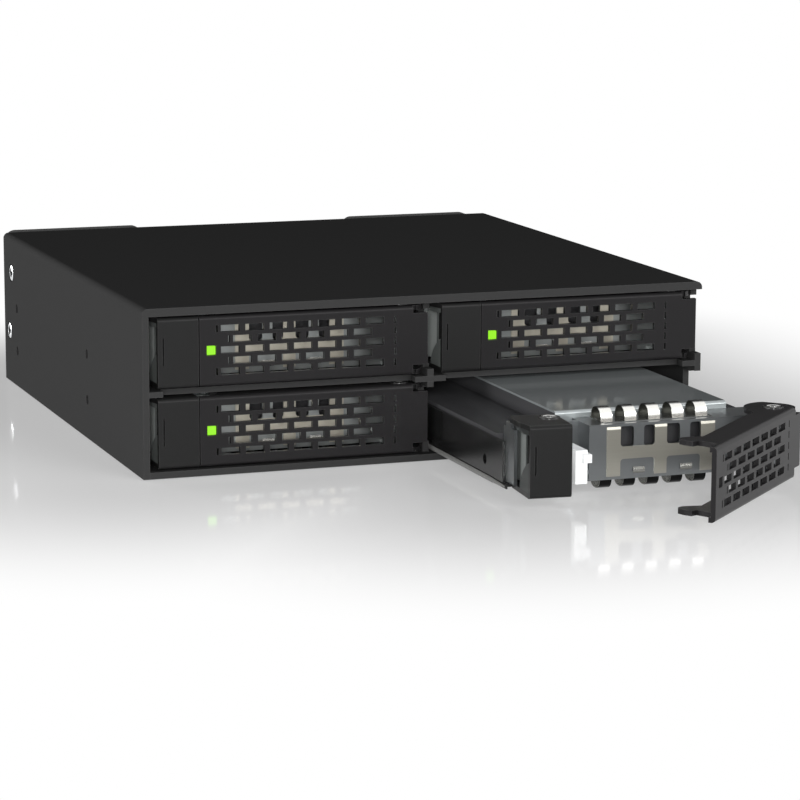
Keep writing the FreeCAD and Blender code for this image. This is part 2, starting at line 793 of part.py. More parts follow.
def make_door():
    s, h, r = door_sheet, front_height, door_bend_radius
    c = r * (1 - math.sqrt(0.5))
    profile = [(s, 0.1), (r, 0), [c, c], (0, r), (0, h - r), [c, h - c], (r, h), (s, h - 0.1)]
    panel = section_along_x(profile, door_free_x, door_full_right_x)
    tab = box(door_full_right_x - 0.5, door_tab_right_x, 0, s, tab_low_z, tab_high_z)
    lip = box(door_free_x - 1, door_full_right_x + 1, -1, r, -1, h + 1)
    flanges = [make_door_flange(0, s).cut(lip), make_door_flange(h - s, h).cut(lip)]
    inner = [box(door_free_x, door_full_right_x, r - 0.01, s + 0.5, 0, s),
             box(door_free_x, door_full_right_x, r - 0.01, s + 0.5, h - s, h)]
    tools = make_door_slots()
    hole = pin_radius + pin_clearance
    head = pin_head_radius + 2 * pin_clearance
    tools.append(drum(hole, V(hinge_x, hinge_y, -1), Z_AXIS, h + 2))
    tools.append(drum(head, V(hinge_x, hinge_y, h - pin_head_sink), Z_AXIS, 1))
    tools.append(drum(head, V(hinge_x, hinge_y, pin_head_sink - 1), Z_AXIS, 1))
    return cut_all(joined([panel, tab] + flanges + inner), tools)


def make_latch():
    s, h, w = latch_sheet, front_height, latch_width
    r = door_bend_radius
    c = r * (1 - math.sqrt(0.5))
    d = latch_flange_depth
    side = latch_side_sheet
    cap = [(d, 0), (r, 0), [c, c], (0, r), (0, h - r), [c, h - c], (r, h), (d, h), (d, h - s), (s, h - s),
           (s, s), (d, s)]
    channel = section_along_x(cap, 0, w)
    channel = round_edges(channel, 2.0, lambda edge: runs_along(edge, Z_AXIS) and edge.BoundBox.YMin > d - 0.1
                          and (edge.BoundBox.XMin > 1 and edge.BoundBox.ZMin > s))
    reach = wing_reach
    wing = plate([(0, r + 0.2), (-0.7 * reach, 5.0), (-reach, 9.0), (-reach, d - 2), [0.5 - reach, d - 0.5],
                  (1.6 - reach, d), (2, d), (2, r + 0.2)], h - s, h)
    wedge = [(s, s), (s, wedge_height), [0.66 * wedge_depth, 0.7 * wedge_height], (wedge_depth, wedge_foot_z),
             (wedge_depth, s)]
    lip = [(s, h - s), (s, h - s - 0.7 * lip_height), [0.55 * lip_depth, h - s - lip_height],
           (lip_depth, h - s - 0.8 * lip_height), (lip_depth, h - s)]
    wall = box(side, 2 * side, side_front, side_rear, side_bottom, h - s)
    shapes = [channel, wing, section_along_x(wedge, 0, side), section_along_x(lip, 0, side), wall]
    tools = [box(slit_x, slit_x + slit_width, -1, slit_depth, slit_low_z, h - slit_below_top),
             drum(pin_radius + pin_clearance, V(latch_pivot_x, latch_pivot_y, -1), Z_AXIS, h + 2)]
    head = pin_head_radius + 2 * pin_clearance
    tools.append(drum(head, V(latch_pivot_x, latch_pivot_y, h - pin_head_sink), Z_AXIS, 1))
    tools.append(drum(head, V(latch_pivot_x, latch_pivot_y, pin_head_sink - 1), Z_AXIS, 1))
    return cut_all(joined(shapes), tools)


def make_pins():
    # A shouldered rivet at each end of both pivots, its head sunk into the flange it carries
    pins = []
    h, s = front_height, door_sheet
    for x, y in ((hinge_x, hinge_y), (latch_pivot_x, latch_pivot_y)):
        seat = h - pin_head_sink + pin_head_play
        top = [drum(pin_radius, V(x, y, bracket_top - bracket_sheet), Z_AXIS, seat - bracket_top + bracket_sheet),
               drum(pin_shoulder_radius, V(x, y, bracket_top), Z_AXIS, h - s - bracket_top - pin_head_play),
               drum(pin_head_radius, V(x, y, seat), Z_AXIS, pin_head_height)]
        pins.append(joined(top))
        seat = pin_head_sink - pin_head_play
        low = [drum(pin_radius, V(x, y, seat), Z_AXIS, bracket_bottom + bracket_sheet - seat),
               drum(pin_shoulder_radius, V(x, y, s + pin_head_play), Z_AXIS, bracket_bottom - s - pin_head_play),
               drum(pin_head_radius, V(x, y, seat - pin_head_height), Z_AXIS, pin_head_height)]
        pins.append(joined(low))
    return pins


def make_light_pipe():
    rear = cross_wall_rear - bracket_sheet
    half = pip_size / 2
    z = slots_z
    high = z + pipe_rise
    block = box(pipe_left, pipe_left + pipe_width, pipe_front, pipe_front + pipe_block_depth, pipe_low_z, high)
    tail = box(pipe_left, pipe_left + pipe_width, pipe_front, rear, z - pipe_tail_drop, high)
    pip = box(led_x - half, led_x + half, pip_setback, pipe_front + 2, z - half, z + half)
    return joined([block, tail, pip])


def make_latch_spring():
    # Seen from above: a foot on the cross wall, then a leaf that bows forward towards the latch
    t = leaf_thickness
    rear = cross_wall_rear - bracket_sheet
    bow = ((leaf_bend_x + leaf_tip_x) / 2 + 0.6, (rear + leaf_tip_y) / 2 - 1.0)
    points = [(leaf_bend_x, rear), [bow[0], bow[1]], (leaf_tip_x, leaf_tip_y), (leaf_tip_x + t, leaf_tip_y),
              [bow[0] + t, bow[1] + t / 2], (leaf_bend_x + t, rear - t), (leaf_fixed_x - 2.2, rear - t),
              (leaf_fixed_x - 2.2, rear)]
    return plate(points, front_height / 2 - leaf_drop, front_height / 2 + leaf_rise)


def turned(shape, x, y, degrees):
    copy = shape.copy()
    copy.rotate(V(x, y, 0), Z_AXIS, degrees)
    return copy


def make_tray():
    return {
        "tray_frame": [make_tray_frame()],
        "front_bracket": [make_front_bracket()],
        "spring_clip": [make_spring_clip()],
        "contact_fingers": make_contact_fingers(),
        "drive_body": [make_drive_body()],
        "drive_cover": [make_drive_cover()],
        "light_pipe": [make_light_pipe()],
        "pivot_pins": make_pins(),
        "latch_spring": [make_latch_spring()],
        "latch": [make_latch()],
        "door": [make_door()],
    }


def tray_nodes():
    nodes = {}
    tray = make_tray()
    for column, left in bay_lefts.items():
        for row, floor in bay_floors.items():
            pulled = row == "lower" and column == "right"
            place = V(left + tray_left_gap, front_y - (tray_pulled_out if pulled else 0), floor + tray_floor_gap)
            for name, shapes in tray.items():
                if pulled and name == "door":
                    shapes = [turned(shape, hinge_x, hinge_y, door_opened_deg) for shape in shapes]
                if pulled and name == "latch":
                    shapes = [turned(shape, latch_pivot_x, latch_pivot_y, -latch_turned_deg) for shape in shapes]
                nodes[row + "_" + column + "_" + name] = [shape.translated(place) for shape in shapes]
    return nodes


def cage_nodes():
    nodes = {
        "cage_wrap": [make_wrap()],
        "base_plate": [make_base_plate()],
        "bay_shelf": [make_shelf()],
        "bay_mullion": make_mullion(),
        "rear_plate": [make_rear_plate()],
        "backplane_board": [make_board()],
        "drive_sockets": make_sockets(),
        "data_ports": [make_connector(x, z, port_width, port_height) for x, z in port_places()],
        "power_inlets": [make_connector(x, z, power_width, power_height) for x, z in power_places()],
        "board_spacers": make_spacers(),
        "fan_screws": make_fan_screws(),
        "side_screws": make_side_screws(),
    }
    for name, side in (("left", -1), ("right", 1)):
        nodes[name + "_fan_frame"] = [make_fan_frame(side)]
        nodes[name + "_fan_rotor"] = [make_fan_rotor(side)]
    return nodes


def write_parts():
    os.makedirs("parts", exist_ok=True)
    nodes = cage_nodes()
    nodes.update(tray_nodes())
    for name, shapes in nodes.items():
        solids = [solid for shape in shapes for solid in shape.Solids]
        whole = solids[0] if len(solids) == 1 else Part.makeCompound(solids)
        whole.exportStep("parts/" + name + ".step")


write_parts()
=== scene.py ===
import json
import math
import bmesh
import bpy
import numpy as np
from mathutils import Matrix, Vector


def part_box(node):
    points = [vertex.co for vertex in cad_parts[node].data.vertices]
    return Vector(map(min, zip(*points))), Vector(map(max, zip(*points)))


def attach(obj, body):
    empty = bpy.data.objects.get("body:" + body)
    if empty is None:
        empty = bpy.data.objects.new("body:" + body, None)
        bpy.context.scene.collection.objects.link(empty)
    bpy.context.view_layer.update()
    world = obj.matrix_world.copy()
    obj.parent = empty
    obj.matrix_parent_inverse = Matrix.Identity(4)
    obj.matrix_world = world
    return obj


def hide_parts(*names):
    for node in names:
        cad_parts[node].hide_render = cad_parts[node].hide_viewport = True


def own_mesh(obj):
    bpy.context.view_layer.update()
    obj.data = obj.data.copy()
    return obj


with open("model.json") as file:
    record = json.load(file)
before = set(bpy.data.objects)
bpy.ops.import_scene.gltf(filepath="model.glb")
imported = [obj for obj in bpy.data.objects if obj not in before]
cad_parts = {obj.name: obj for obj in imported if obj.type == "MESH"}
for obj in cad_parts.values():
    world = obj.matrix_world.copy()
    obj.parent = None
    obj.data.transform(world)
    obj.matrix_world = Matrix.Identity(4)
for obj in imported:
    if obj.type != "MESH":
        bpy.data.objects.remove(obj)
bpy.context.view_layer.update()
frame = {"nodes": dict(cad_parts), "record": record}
nodes = frame["nodes"]
trays = ["upper_left", "upper_right", "lower_left", "lower_right"]
openTray = "lower_right"
print("frame loaded:", len(nodes), "nodes")


def linearColor(red, green=None, blue=None):
    # sRGB levels from 0 to 255, as a picture shows them, to the linear colour a shader takes
    levels = np.array([red, red if green is None else green, red if blue is None else blue]) / 255.0
    linear = np.where(levels <= 0.04045, levels / 12.92, ((levels + 0.055) / 1.055) ** 2.4)
    return (*linear.tolist(), 1.0)


def newMaterial(name):
    material = bpy.data.materials.new(name)
    material.use_nodes = True
    tree = material.node_tree
    return material, tree, tree.nodes["Principled BSDF"]


millimetre = 0.001  # the scene is in metres, the added pieces are worked out in millimetres

# Camera, at the photograph's place, with its slight roll
cameraSettings = {
    "place": (-0.26105, -0.77672, 0.15339),
    "yawDeg": 19.819,
    "pitchDeg": -10.456,
    "rollDeg": 0.195,
    "lensMm": 139.33,
    "sensorMm": 36,
    "clip": (0.02, 50),
}


def makeCamera(s):
    yaw, pitch, roll = (math.radians(s[key]) for key in ("yawDeg", "pitchDeg", "rollDeg"))
    ahead = Vector((math.sin(yaw) * math.cos(pitch), math.cos(yaw) * math.cos(pitch), math.sin(pitch)))
    level = Vector((math.cos(yaw), -math.sin(yaw), 0))
    above = level.cross(ahead)
    right = level * math.cos(roll) + above * math.sin(roll)
    up = above * math.cos(roll) - level * math.sin(roll)
    data = bpy.data.cameras.new("photoCamera")
    data.lens = s["lensMm"]
    data.sensor_width = s["sensorMm"]
    data.clip_start, data.clip_end = s["clip"]
    camera = bpy.data.objects.new("photoCamera", data)
    turn = Matrix((right, up, -ahead)).transposed()
    camera.matrix_world = Matrix.Translation(s["place"]) @ turn.to_4x4()
    bpy.context.scene.collection.objects.link(camera)
    bpy.context.scene.camera = camera


makeCamera(cameraSettings)
print("camera placed")


# Short ways to add shader nodes
def newGroup(name, inputs, outputs):
    group = bpy.data.node_groups.new(name, "ShaderNodeTree")
    for label, kind, value in inputs:
        socket = group.interface.new_socket(name=label, in_out="INPUT", socket_type="NodeSocket" + kind)
        socket.default_value = value
    for label, kind in outputs:
        group.interface.new_socket(name=label, in_out="OUTPUT", socket_type="NodeSocket" + kind)
    return group, group.nodes.new("NodeGroupInput"), group.nodes.new("NodeGroupOutput")


def mathNode(tree, operation, *values):
    node = tree.nodes.new("ShaderNodeMath")
    node.operation = operation
    for slot, value in enumerate(values):
        if isinstance(value, (int, float)):
            node.inputs[slot].default_value = value
        else:
            tree.links.new(value, node.inputs[slot])
    return node.outputs[0]


def noiseNode(tree, vector, scale, detail):
    node = tree.nodes.new("ShaderNodeTexNoise")
    node.inputs["Detail"].default_value = detail
    tree.links.new(vector, node.inputs["Vector"])
    if isinstance(scale, (int, float)):
        node.inputs["Scale"].default_value = scale
    else:
        tree.links.new(scale, node.inputs["Scale"])
    return node.outputs["Fac"]


def mixColors(tree, factor, first, second):
    node = tree.nodes.new("ShaderNodeMix")
    node.data_type = "RGBA"
    for socket, value in (("Factor", factor), ("A", first), ("B", second)):
        target = [i for i in node.inputs if i.name == socket and i.enabled][0]
        if isinstance(value, (int, float, tuple)):
            target.default_value = value
        else:
            tree.links.new(value, target)
    return [o for o in node.outputs if o.enabled][0]


# Light
lightSettings = {
    "world": 0.05,
    "lamps": {
        "keySoftbox": {"place": (-0.62, -1.78, 0.37), "size": (0.4, 0.3), "power": 19.0},
        "frontSoftbox": {"place": (0.62, -1.62, 0.86), "size": (0.9, 0.5), "power": 9.0},
        "leftSoftbox": {"place": (-1.5, -0.2, 0.22), "size": (1.0, 0.5), "power": 9.0},
        "rightSoftbox": {"place": (1.25, -1.05, 0.3), "size": (0.8, 0.5), "power": 7.0},
        "rearSoftbox": {"place": (-1.1, 1.5, 0.16), "size": (1.2, 0.3), "power": 22.0},
    },
    "flag": {"place": (0.62, 1.75, 0.47), "size": (2.0, 0.9), "color": (18,)},
    "aim": (0.0, -0.03, 0.02),
}


def makeLamps(s):
    for name, lamp in s["lamps"].items():
        data = bpy.data.lights.new(name, "AREA")
        data.shape = "RECTANGLE"
        data.size, data.size_y = lamp["size"]
        data.energy = lamp["power"]
        obj = bpy.data.objects.new(name, data)
        obj.location = lamp["place"]
        obj.rotation_euler = (Vector(s["aim"]) - Vector(lamp["place"])).to_track_quat("-Z", "Y").to_euler()
        bpy.context.scene.collection.objects.link(obj)


def seenDirectly(tree):
    # 1 for what the camera sees itself, in a mirror or through glass
    path = tree.nodes.new("ShaderNodeLightPath")
    direct = mathNode(tree, "MAXIMUM", path.outputs["Is Camera Ray"], path.outputs["Is Glossy Ray"])
    return mathNode(tree, "MAXIMUM", direct, path.outputs["Is Transmission Ray"])


def makeWorld(s):
    world = bpy.data.worlds.new("studio")
    bpy.context.scene.world = world
    world.use_nodes = True
    tree = world.node_tree
    tree.nodes.clear()
    background = tree.nodes.new("ShaderNodeBackground")
    background.inputs["Color"].default_value = (1, 1, 1, 1)
    seen = seenDirectly(tree)
    strength = tree.nodes.new("ShaderNodeMapRange")
    strength.inputs["To Min"].default_value = s["world"]
    strength.inputs["To Max"].default_value = 1.0
    tree.links.new(seen, strength.inputs["Value"])
    tree.links.new(strength.outputs["Result"], background.inputs["Strength"])
    output = tree.nodes.new("ShaderNodeOutputWorld")
    tree.links.new(background.outputs[0], output.inputs["Surface"])


def makeFlag(s):
    # A black card behind the object, out of the camera's sight, keeps level tops dark
    width, height = s["size"]
    mesh = bpy.data.meshes.new("blackFlag")
    turn = math.atan2(s["place"][0], s["place"][1])
    across = np.array([math.cos(turn), -math.sin(turn), 0]) * width / 2
    up = np.array([0, 0, height / 2])
    signs = ((-1, -1), (1, -1), (1, 1), (-1, 1))
    corners = [np.array(s["place"]) + i * across + j * up for i, j in signs]
    mesh.from_pydata([tuple(corner) for corner in corners], [], [(0, 1, 2, 3)])
    flag = bpy.data.objects.new("blackFlag", mesh)
    bpy.context.scene.collection.objects.link(flag)
    material, tree, shader = newMaterial("flagCloth")
    shader.inputs["Base Color"].default_value = linearColor(*s["color"])
    shader.inputs["Specular IOR Level"].default_value = 0.0
    mesh.materials.append(material)
    flag.visible_camera = flag.visible_diffuse = flag.visible_shadow = False


makeLamps(lightSettings)
makeWorld(lightSettings)
makeFlag(lightSettings["flag"])
print("light set")


# Effects that several materials share
effectSettings = {
    "bevelSamples": 4, "wearAndHighlightGain": 4.0, "patchScale": 90.0, "patchFloor": 0.3,
    "cloudScale": 35.0, "streakStretch": (70, 9000, 9000), "streakCloudScale": 60.0,
    # The crevice settings give the painted shade laid into slot walls, seams and folds
    "shadeSamples": 6, "creviceReach": 0.002, "creviceAmount": 0.9, "creviceShadeColor": (0.002, 0.002, 0.002, 1),
    "paintBump": 0.4, "metalBump": 0.3,
}


def makeEdgeWearAndHighlight(s):
    # Paint rubbed thin along edges, with a painted highlight along them: lighter by how far the rounded normal
    # turns from the face's own
    group, source, result = newGroup("edgeWearAndHighlight", [
        ("Paint", "Color", (0.03, 0.03, 0.03, 1)), ("Worn", "Color", (0.2, 0.2, 0.2, 1)),
        ("Width", "Float", 0.0004), ("Amount", "Float", 0.5)], [("Color", "Color")])
    place = group.nodes.new("ShaderNodeTexCoord")
    bevel = group.nodes.new("ShaderNodeBevel")
    bevel.samples = s["bevelSamples"]
    group.links.new(source.outputs["Width"], bevel.inputs["Radius"])
    face = group.nodes.new("ShaderNodeNewGeometry")
    dot = group.nodes.new("ShaderNodeVectorMath")
    dot.operation = "DOT_PRODUCT"
    group.links.new(bevel.outputs["Normal"], dot.inputs[0])
    group.links.new(face.outputs["Normal"], dot.inputs[1])
    apart = mathNode(group, "SUBTRACT", 1.0, dot.outputs["Value"])
    turned = mathNode(group, "MULTIPLY", apart, s["wearAndHighlightGain"])
    patches = noiseNode(group, place.outputs["Object"], s["patchScale"], 3.0)
    broken = mathNode(group, "MULTIPLY", turned, mathNode(group, "ADD", patches, s["patchFloor"]))
    mask = mathNode(group, "MINIMUM", mathNode(group, "MULTIPLY", broken, source.outputs["Amount"]), 1.0)
    color = mixColors(group, mask, source.outputs["Paint"], source.outputs["Worn"])
    group.links.new(color, result.inputs["Color"])
    return group


def makePowderCoat(s):
    # The fine orange peel of powder paint, with soft cloudy change in sheen
    group, source, result = newGroup("powderCoat", [
        ("Grain Size", "Float", 0.0005), ("Roughness", "Float", 0.5), ("Cloudiness", "Float", 0.08)],
        [("Height", "Float"), ("Roughness", "Float")])
    place = group.nodes.new("ShaderNodeTexCoord")
    scale = mathNode(group, "DIVIDE", 1.0, source.outputs["Grain Size"])
    fine = noiseNode(group, place.outputs["Object"], scale, 2.0)
    cloud = noiseNode(group, place.outputs["Object"], s["cloudScale"], 3.0)
    centred = mathNode(group, "SUBTRACT", cloud, 0.5)
    swing = mathNode(group, "MULTIPLY", centred, source.outputs["Cloudiness"])
    group.links.new(fine, result.inputs["Height"])
    group.links.new(mathNode(group, "ADD", source.outputs["Roughness"], swing), result.inputs["Roughness"])
    return group


def makeBrushed(s):
    # Rolling marks along X: noise drawn out along one direction
    group, source, result = newGroup("brushedMetal", [
        ("Base", "Color", (0.5, 0.5, 0.5, 1)), ("Streak", "Color", (0.4, 0.4, 0.4, 1)),
        ("Roughness", "Float", 0.3), ("Spread", "Float", 0.1)],
        [("Color", "Color"), ("Height", "Float"), ("Roughness", "Float")])
    place = group.nodes.new("ShaderNodeTexCoord")
    stretch = group.nodes.new("ShaderNodeMapping")
    stretch.inputs["Scale"].default_value = s["streakStretch"]
    group.links.new(place.outputs["Object"], stretch.inputs["Vector"])
    streaks = noiseNode(group, stretch.outputs["Vector"], 1.0, 3.0)
    cloud = noiseNode(group, place.outputs["Object"], s["streakCloudScale"], 2.0)
    both = mathNode(group, "MULTIPLY", mathNode(group, "ADD", streaks, cloud), 0.5)
    color = mixColors(group, both, source.outputs["Base"], source.outputs["Streak"])
    centred = mathNode(group, "SUBTRACT", both, 0.5)
    swing = mathNode(group, "MULTIPLY", centred, source.outputs["Spread"])
    group.links.new(color, result.inputs["Color"])
    group.links.new(streaks, result.inputs["Height"])
    group.links.new(mathNode(group, "ADD", source.outputs["Roughness"], swing), result.inputs["Roughness"])
    return group


def makeCreviceShade(s):
    # Painted shade: darker where faces close in on each other: slot walls, seams and folds
    group, source, result = newGroup("creviceShade", [
        ("Color", "Color", (0.5, 0.5, 0.5, 1)), ("Reach", "Float", 0.002), ("Amount", "Float", 0.5)],
        [("Color", "Color")])
    shade = group.nodes.new("ShaderNodeAmbientOcclusion")
    shade.samples = s["shadeSamples"]
    shade.only_local = True
    group.links.new(source.outputs["Reach"], shade.inputs["Distance"])
    closed = mathNode(group, "SUBTRACT", 1.0, shade.outputs["AO"])
    factor = mathNode(group, "MINIMUM", mathNode(group, "MULTIPLY", closed, source.outputs["Amount"]), 1.0)
    color = mixColors(group, factor, source.outputs["Color"], s["creviceShadeColor"])
    group.links.new(color, result.inputs["Color"])
    return group


def makeInsideBox():
    # 1 inside a box given by its low and high corners, 0 outside
    group, source, result = newGroup("insideBox", [
        ("Place", "Vector", (0, 0, 0)), ("Low", "Vector", (0, 0, 0)), ("High", "Vector", (1, 1, 1))],
        [("Mask", "Float")])
    sides = []
    for first, second in (("Place", "Low"), ("High", "Place")):
        gap = group.nodes.new("ShaderNodeVectorMath")
        gap.operation = "SUBTRACT"
        group.links.new(source.outputs[first], gap.inputs[0])
        group.links.new(source.outputs[second], gap.inputs[1])
        split = group.nodes.new("ShaderNodeSeparateXYZ")
        group.links.new(gap.outputs[0], split.inputs[0])
        sides += [mathNode(group, "GREATER_THAN", split.outputs[axis], 0.0) for axis in "XYZ"]
    mask = sides[0]
    for side in sides[1:]:
        mask = mathNode(group, "MULTIPLY", mask, side)
    group.links.new(mask, result.inputs["Mask"])
    return group


edgeWearAndHighlight = makeEdgeWearAndHighlight(effectSettings)
creviceShade = makeCreviceShade(effectSettings)
insideBox = makeInsideBox()
powderCoat = makePowderCoat(effectSettings)
brushedMetal = makeBrushed(effectSettings)
print("shared effects made")


def placeGroup(tree, group, **values):
    node = tree.nodes.new("ShaderNodeGroup")
    node.node_tree = group
    for label, value in values.items():
        node.inputs[label.replace("_", " ")].default_value = value
    return node


def addBump(tree, shader, height, depth, strength):
    bump = tree.nodes.new("ShaderNodeBump")
    bump.inputs["Distance"].default_value = depth
    bump.inputs["Strength"].default_value = strength
    tree.links.new(height, bump.inputs["Height"])
    tree.links.new(bump.outputs["Normal"], shader.inputs["Normal"])


def paintedMetal(name, s, inner=None):
    material, tree, shader = newMaterial(name)
    wearAndHighlight = placeGroup(tree, edgeWearAndHighlight, Paint=linearColor(*s["color"]), Worn=linearColor(*s["edge"]),
                      Width=s["edgeWidth"], Amount=s["wearAndHighlight"])
    coat = placeGroup(tree, powderCoat, Grain_Size=s["grain"], Roughness=s["roughness"],
                      Cloudiness=s["cloud"])
    color = wearAndHighlight.outputs["Color"]
    if inner:
        place = tree.nodes.new("ShaderNodeTexCoord")
        turn = tree.nodes.new("ShaderNodeMapping")
        turn.inputs["Location"].default_value = inner["location"]
        turn.inputs["Rotation"].default_value = (0, 0, inner["turn"])
        tree.links.new(place.outputs["Object"], turn.inputs["Vector"])
        for low, high, shade in inner["boxes"]:
            fold = placeGroup(tree, insideBox, Low=low, High=high)
            tree.links.new(turn.outputs["Vector"], fold.inputs["Place"])
            color = mixColors(tree, fold.outputs["Mask"], color, linearColor(*shade))
    crevice = placeGroup(tree, creviceShade, Reach=effectSettings["creviceReach"],
                         Amount=effectSettings["creviceAmount"])
    tree.links.new(color, crevice.inputs["Color"])
    tree.links.new(crevice.outputs["Color"], shader.inputs["Base Color"])
    tree.links.new(coat.outputs["Roughness"], shader.inputs["Roughness"])
    shader.inputs["Specular IOR Level"].default_value = s["sheen"]
    addBump(tree, shader, coat.outputs["Height"], s["depth"], effectSettings["paintBump"])
    return material


def bareMetal(name, s):
    material, tree, shader = newMaterial(name)
    marks = placeGroup(tree, brushedMetal, Base=linearColor(*s["color"]), Streak=linearColor(*s["streak"]),
                       Roughness=s["roughness"], Spread=s["spread"])
    tree.links.new(marks.outputs["Color"], shader.inputs["Base Color"])
    tree.links.new(marks.outputs["Roughness"], shader.inputs["Roughness"])
    shader.inputs["Metallic"].default_value = s["metallic"]
    addBump(tree, shader, marks.outputs["Height"], s["depth"], effectSettings["metalBump"])
    return material


# Each finish's edge colour is both rubbed paint and a painted highlight along the bends
finishes = {
    "cage_paint": {"color": (61,), "edge": (84,), "edgeWidth": 0.0004, "wearAndHighlight": 0.35, "grain": 0.0005,
                   "roughness": 0.7, "cloud": 0.06, "sheen": 0.0, "depth": 0.00001},
    "tray_paint": {"color": (24,), "edge": (70,), "edgeWidth": 0.0003, "wearAndHighlight": 0.4, "grain": 0.0004,
                   "roughness": 0.24, "cloud": 0.05, "sheen": 0.5, "depth": 0.000004},
    "door_paint": {"color": (36, 35, 36), "edge": (84,), "edgeWidth": 0.0003, "wearAndHighlight": 0.4, "grain": 0.0004,
                   "roughness": 0.3, "cloud": 0.05, "sheen": 0.12, "depth": 0.000003},
    "latch_paint": {"color": (36,), "edge": (84,), "edgeWidth": 0.0003, "wearAndHighlight": 0.4, "grain": 0.0004,
                    "roughness": 0.3, "cloud": 0.05, "sheen": 0.12, "depth": 0.000003},
    "drive_black": {"color": (86, 86, 88), "edge": (80,), "edgeWidth": 0.0003, "wearAndHighlight": 0.3, "grain": 0.0008,
                    "roughness": 0.22, "cloud": 0.05, "sheen": 0.5, "depth": 0.000003},
    "fan_plastic": {"color": (27,), "edge": (44,), "edgeWidth": 0.0003, "wearAndHighlight": 0.3, "grain": 0.0006,
                    "roughness": 0.5, "cloud": 0.08, "sheen": 0.3, "depth": 0.00001},
    "connector_plastic": {"color": (28,), "edge": (52,), "edgeWidth": 0.0002, "wearAndHighlight": 0.3, "grain": 0.0005,
                          "roughness": 0.45, "cloud": 0.08, "sheen": 0.4, "depth": 0.00001},
    "circuit_board": {"color": (18, 66, 44), "edge": (120, 110, 70), "edgeWidth": 0.0003, "wearAndHighlight": 0.3,
                      "grain": 0.0015, "roughness": 0.3, "cloud": 0.08, "sheen": 0.5, "depth": 0.00001},
}
metals = {
    "bracket_steel": {"color": (131, 134, 135), "streak": (119, 122, 124), "roughness": 0.3, "spread": 0.08,
                      "metallic": 0.85, "depth": 0.000001},
    "clip_steel": {"color": (178, 176, 166), "streak": (160, 157, 147), "roughness": 0.3, "spread": 0.08,
                   "metallic": 0.85, "depth": 0.000001},
    "spring_steel": {"color": (250, 248, 243), "streak": (236, 233, 226), "roughness": 0.2, "spread": 0.08,
                     "metallic": 0.9, "depth": 0.000001},
    "drive_cover_metal": {"color": (178, 184, 185), "streak": (170, 176, 177), "roughness": 0.1, "spread": 0.04,
                          "metallic": 0.25, "depth": 0.0000005},
    "pin_steel": {"color": (120,), "streak": (90,), "roughness": 0.25, "spread": 0.08, "metallic": 0.9,
                  "depth": 0.000002},
    "screw_steel": {"color": (226, 228, 230), "streak": (200, 202, 205), "roughness": 0.22, "spread": 0.08,
                    "metallic": 0.9, "depth": 0.000002},
    "connector_metal": {"color": (190, 192, 194), "streak": (170, 172, 174), "roughness": 0.25, "spread": 0.08,
                        "metallic": 0.9, "depth": 0.000002},
}
# Lighter copies of the bracket and clip steel for the shut trays, seen through the door slots: painted light
metals["bracket_steel_shut"] = dict(metals["bracket_steel"], color=(176, 180, 179), streak=(162, 166, 165))
metals["clip_steel_shut"] = dict(metals["clip_steel"], color=(222, 217, 202), streak=(206, 200, 184))
materials = {name: paintedMetal(name, values) for name, values in finishes.items()}
materials.update({name: bareMetal(name, values) for name, values in metals.items()})


# Light pipes: milky in the open tray with a faint painted glow, the pip lit green by its LED in the closed
# doors
pipeSettings = {
    "milk": (250, 252, 252), "dull": (170, 190, 150), "green": (148, 236, 26), "glow": 1.0, "milkPaintedGlow": 0.25,
    "roughness": 0.25, "hazeScale": 400.0, "hazeShade": 0.93, "scatter": 0.2, "scatterDepth": 0.0006,
    "litDepth": 0.0024, "litRise": 0.0011, "litAbove": 0.0002, "litMargin": 0.0001, "litBase": 0.3,
}


def makePipeMaterial(tray, s):
    material, tree, shader = newMaterial(tray + "_pipe")
    place = tree.nodes.new("ShaderNodeTexCoord")
    haze = noiseNode(tree, place.outputs["Object"], s["hazeScale"], 2.0)
    shade = s["milk" if tray == openTray else "dull"]
    hazy = linearColor(*[level * s["hazeShade"] for level in shade])
    color = mixColors(tree, haze, linearColor(*shade), hazy)
    shader.inputs["Roughness"].default_value = s["roughness"]
    shader.inputs["Subsurface Weight"].default_value = s["scatter"]
    shader.inputs["Subsurface Radius"].default_value = (1, 1, 1)
    shader.inputs["Subsurface Scale"].default_value = s["scatterDepth"]
    if tray == openTray:
        # The open tray's milky pipe glows faintly as painted light
        tree.links.new(color, shader.inputs["Emission Color"])
        shader.inputs["Emission Strength"].default_value = s["milkPaintedGlow"]
    else:
        low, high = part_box(tray + "_light_pipe")
        doorLow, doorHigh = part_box(tray + "_door")
        middle = (doorLow[2] + doorHigh[2]) / 2 + s["litAbove"]
        margin = s["litMargin"]
        pip = placeGroup(tree, insideBox, Low=(low[0] - margin, low[1] - margin, middle - s["litRise"]),
                         High=(high[0] + margin, low[1] + s["litDepth"], middle + s["litRise"]))
        tree.links.new(place.outputs["Object"], pip.inputs["Place"])
        glow = mixColors(tree, pip.outputs["Mask"], (0, 0, 0, 1), linearColor(*s["green"]))
        base = linearColor(*[level * s["litBase"] for level in s["green"]])
        color = mixColors(tree, pip.outputs["Mask"], color, base)
        tree.links.new(glow, shader.inputs["Emission Color"])
        shader.inputs["Emission Strength"].default_value = s["glow"]
    tree.links.new(color, shader.inputs["Base Color"])
    return material


for tray in trays:
    materials[tray + "_pipe"] = makePipeMaterial(tray, pipeSettings)


